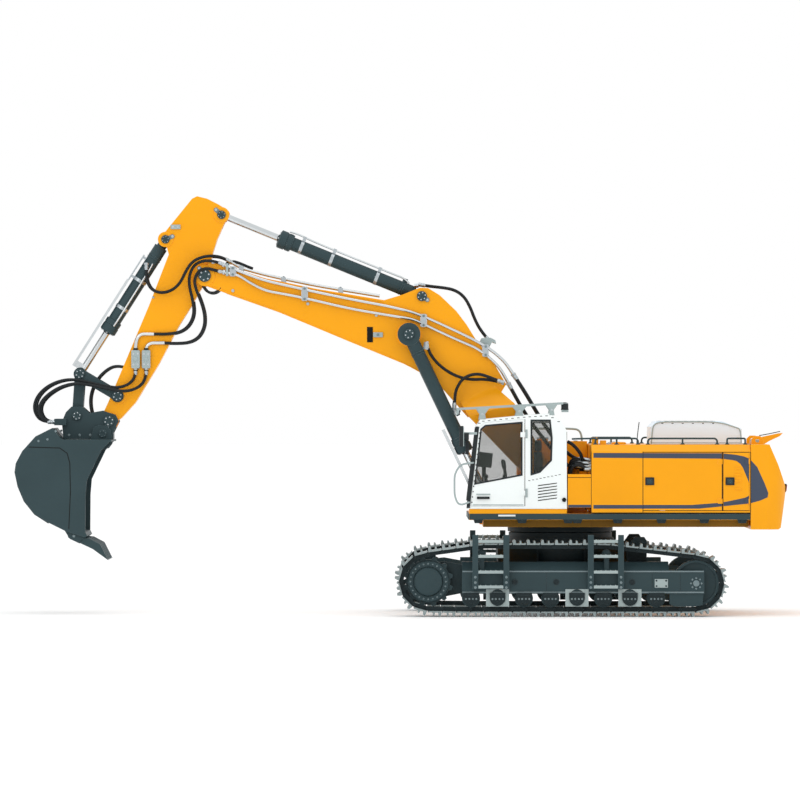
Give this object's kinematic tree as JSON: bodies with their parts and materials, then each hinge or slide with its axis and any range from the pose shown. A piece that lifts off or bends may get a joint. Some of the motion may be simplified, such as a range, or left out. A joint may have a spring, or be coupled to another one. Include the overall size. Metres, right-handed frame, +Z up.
{
  "type": "rc excavator",
  "caption": "Radio-controlled crawler excavator with a slewing cab house, two tracks and a hydraulic boom, stick and bucket arm.",
  "frame": {"origin": "on the slew axis, at ground level", "axes": "+Z up, the arm reaches towards -X, the cab side is -Y"},
  "size_m": [0.9457, 0.2892, 0.5122],
  "materials": {
    "yellow_paint": "gloss paint",
    "slate_paint": "satin paint",
    "grey_paint": "satin paint",
    "white_paint": "gloss paint",
    "chrome_rod": "polished",
    "track_steel": "worn",
    "pin_steel": "turned",
    "cab_glass": "tinted",
    "black_rubber": "matte",
    "black_plastic": "matte",
    "battery_wrap": "gloss",
    "circuit_board": "matte"
  },
  "bodies": {
    "undercarriage": {"centre_frame": "slate_paint", "left_track_frame": "slate_paint", "right_track_frame": "slate_paint", "left_track_links": "track_steel", "right_track_links": "track_steel", "left_track_shoes": "track_steel", "right_track_shoes": "track_steel", "track_rollers": "slate_paint", "roller_guards": "grey_paint", "track_steps": "slate_paint", "slew_ring": "pin_steel", "travel_motors": "slate_paint"},
    "left_sprocket": {"left_sprocket": "slate_paint"},
    "right_sprocket": {"right_sprocket": "slate_paint"},
    "left_idler": {"left_idler": "slate_paint"},
    "right_idler": {"right_idler": "slate_paint"},
    "house": {"house_frame": "yellow_paint", "house_pins": "pin_steel", "body_panels": "yellow_paint", "side_panels": "yellow_paint", "counterweight": "yellow_paint", "engine_hood": "white_paint", "deck_handrails": "slate_paint", "battery_pack": "battery_wrap", "pump_unit": "pin_steel", "valve_block": "pin_steel", "oil_tank": "slate_paint", "control_board": "circuit_board", "slew_motor": "slate_paint", "cab_shell": "white_paint", "cab_glass": "cab_glass", "operator_seat": "black_plastic", "cab_console": "black_plastic", "roof_guard": "grey_paint", "cab_rails": "grey_paint"},
    "cab_door": {"cab_door": "white_paint", "cab_door_glass": "cab_glass"},
    "left_service_door": {"left_service_door": "yellow_paint"},
    "left_rear_door": {"left_rear_door": "yellow_paint"},
    "right_service_door": {"right_service_door": "yellow_paint"},
    "boom": {"boom_shell": "yellow_paint", "boom_pins": "pin_steel", "boom_pipes": "chrome_rod", "boom_hoses": "black_rubber"},
    "boom_cylinder_barrels": {"boom_cylinder_barrels": "slate_paint"},
    "boom_cylinder_rods": {"boom_cylinder_rods": "chrome_rod"},
    "stick": {"stick_shell": "yellow_paint", "stick_pins": "pin_steel", "stick_valves": "pin_steel", "stick_hoses": "black_rubber", "coupler_hoses": "black_rubber"},
    "stick_cylinder_rod": {"stick_cylinder_rod": "chrome_rod"},
    "stick_cylinder_barrel": {"stick_cylinder_barrel": "slate_paint"},
    "bucket_cylinder_barrel": {"bucket_cylinder_barrel": "slate_paint"},
    "bucket_cylinder_rod": {"bucket_cylinder_rod": "chrome_rod"},
    "rocker": {"rocker_arms": "slate_paint"},
    "link": {"bucket_link": "slate_paint"},
    "bucket": {"quick_coupler": "slate_paint", "bucket_shell": "slate_paint", "bucket_teeth": "slate_paint"}
  },
  "joints": [
    {"name": "left_track_drive", "type": "hinge", "parent": "undercarriage", "child": "left_sprocket", "pos_m": [-0.1629, -0.118, 0.0422], "axis": [0, 1, 0], "continuous": true},
    {"name": "left_idler_turn", "type": "hinge", "parent": "undercarriage", "child": "left_idler", "pos_m": [0.16129, -0.118, 0.0402], "axis": [0, 1, 0], "continuous": true},
    {"name": "right_track_drive", "type": "hinge", "parent": "undercarriage", "child": "right_sprocket", "pos_m": [-0.1629, 0.118, 0.0422], "axis": [0, 1, 0], "continuous": true},
    {"name": "right_idler_turn", "type": "hinge", "parent": "undercarriage", "child": "right_idler", "pos_m": [0.16129, 0.118, 0.0402], "axis": [0, 1, 0], "continuous": true},
    {"name": "slew", "type": "hinge", "parent": "undercarriage", "child": "house", "pos_m": [0, 0, 0.1005], "axis": [0, 0, 1], "continuous": true},
    {"name": "cab_door_swing", "type": "hinge", "parent": "house", "child": "cab_door", "pos_m": [-0.046, -0.1169, 0.18], "axis": [0, 0, 1], "range_deg": [0, 100]},
    {"name": "left_service_door_swing", "type": "hinge", "parent": "house", "child": "left_service_door", "pos_m": [0.1933, -0.1169, 0.163], "axis": [0, 0, 1], "range_deg": [0, 100]},
    {"name": "left_rear_door_swing", "type": "hinge", "parent": "house", "child": "left_rear_door", "pos_m": [0.2264, -0.1169, 0.163], "axis": [0, 0, 1], "range_deg": [0, 100]},
    {"name": "right_service_door_swing", "type": "hinge", "parent": "house", "child": "right_service_door", "pos_m": [0.1935, 0.1169, 0.163], "axis": [0, 0, -1], "range_deg": [0, 100]},
    {"name": "boom_lift", "type": "hinge", "parent": "house", "child": "boom", "pos_m": [-0.0135, 0, 0.1562], "axis": [0, 1, 0], "range_deg": [-20, 30], "deforming": ["boom_hoses"]},
    {"name": "boom_cylinder_swing", "type": "hinge", "parent": "boom", "child": "boom_cylinder_barrels", "pos_m": [-0.186, 0, 0.3426], "axis": [0, 1, 0], "range_deg": [-1, 1]},
    {"name": "boom_cylinder_stroke", "type": "slide", "parent": "boom_cylinder_barrels", "child": "boom_cylinder_rods", "axis": [0.4326, 0, -0.9016], "range_m": [-0.03, 0.042]},
    {"name": "stick_swing", "type": "hinge", "parent": "boom", "child": "stick", "pos_m": [-0.4366, 0, 0.4145], "axis": [0, 1, 0], "range_deg": [-30, 25], "deforming": ["stick_hoses"]},
    {"name": "stick_rod_swing", "type": "hinge", "parent": "stick", "child": "stick_cylinder_rod", "pos_m": [-0.4161, 0, 0.4893], "axis": [0, 1, 0], "range_deg": [-26, 30]},
    {"name": "stick_cylinder_stroke", "type": "slide", "parent": "stick_cylinder_rod", "child": "stick_cylinder_barrel", "axis": [0.9265, 0, -0.3764], "range_m": [-0.035, 0.042]},
    {"name": "bucket_curl", "type": "hinge", "parent": "stick", "child": "bucket", "pos_m": [-0.5542, 0, 0.2364], "axis": [0, 1, 0], "range_deg": [-40, 30], "deforming": ["coupler_hoses"]},
    {"name": "rocker_swing", "type": "hinge", "parent": "stick", "child": "rocker", "pos_m": [-0.5437, 0, 0.2669], "axis": [0, 1, 0], "range_deg": [-34, 26]},
    {"name": "link_swing", "type": "hinge", "parent": "rocker", "child": "link", "pos_m": [-0.5899, 0, 0.294], "axis": [0, 1, 0], "range_deg": [-16, 21]},
    {"name": "bucket_cylinder_swing", "type": "hinge", "parent": "stick", "child": "bucket_cylinder_barrel", "pos_m": [-0.4849, 0, 0.4592], "axis": [0, 1, 0], "range_deg": [-1.5, 1.5]},
    {"name": "bucket_cylinder_stroke", "type": "slide", "parent": "bucket_cylinder_barrel", "child": "bucket_cylinder_rod", "axis": [-0.5364, 0, -0.844], "range_m": [-0.024, 0.031]}
  ],
  "couplings": [
    {"joint": "left_idler_turn", "follows": "left_track_drive", "ratio": 1.038},
    {"joint": "right_idler_turn", "follows": "right_track_drive", "ratio": 1.038},
    {"joint": "boom_cylinder_swing", "follows": "boom_lift", "ratio": -0.003},
    {"joint": "boom_cylinder_stroke", "follows": "boom_lift", "m_per_rad": 0.0724},
    {"joint": "stick_rod_swing", "follows": "stick_swing", "ratio": -0.956},
    {"joint": "stick_cylinder_stroke", "follows": "stick_swing", "m_per_rad": -0.0734},
    {"joint": "rocker_swing", "follows": "bucket_curl", "ratio": 0.82},
    {"joint": "link_swing", "follows": "bucket_curl", "ratio": -0.48},
    {"joint": "bucket_cylinder_swing", "follows": "bucket_curl", "ratio": 0.02},
    {"joint": "bucket_cylinder_stroke", "follows": "bucket_curl", "m_per_rad": -0.041}
  ]
}
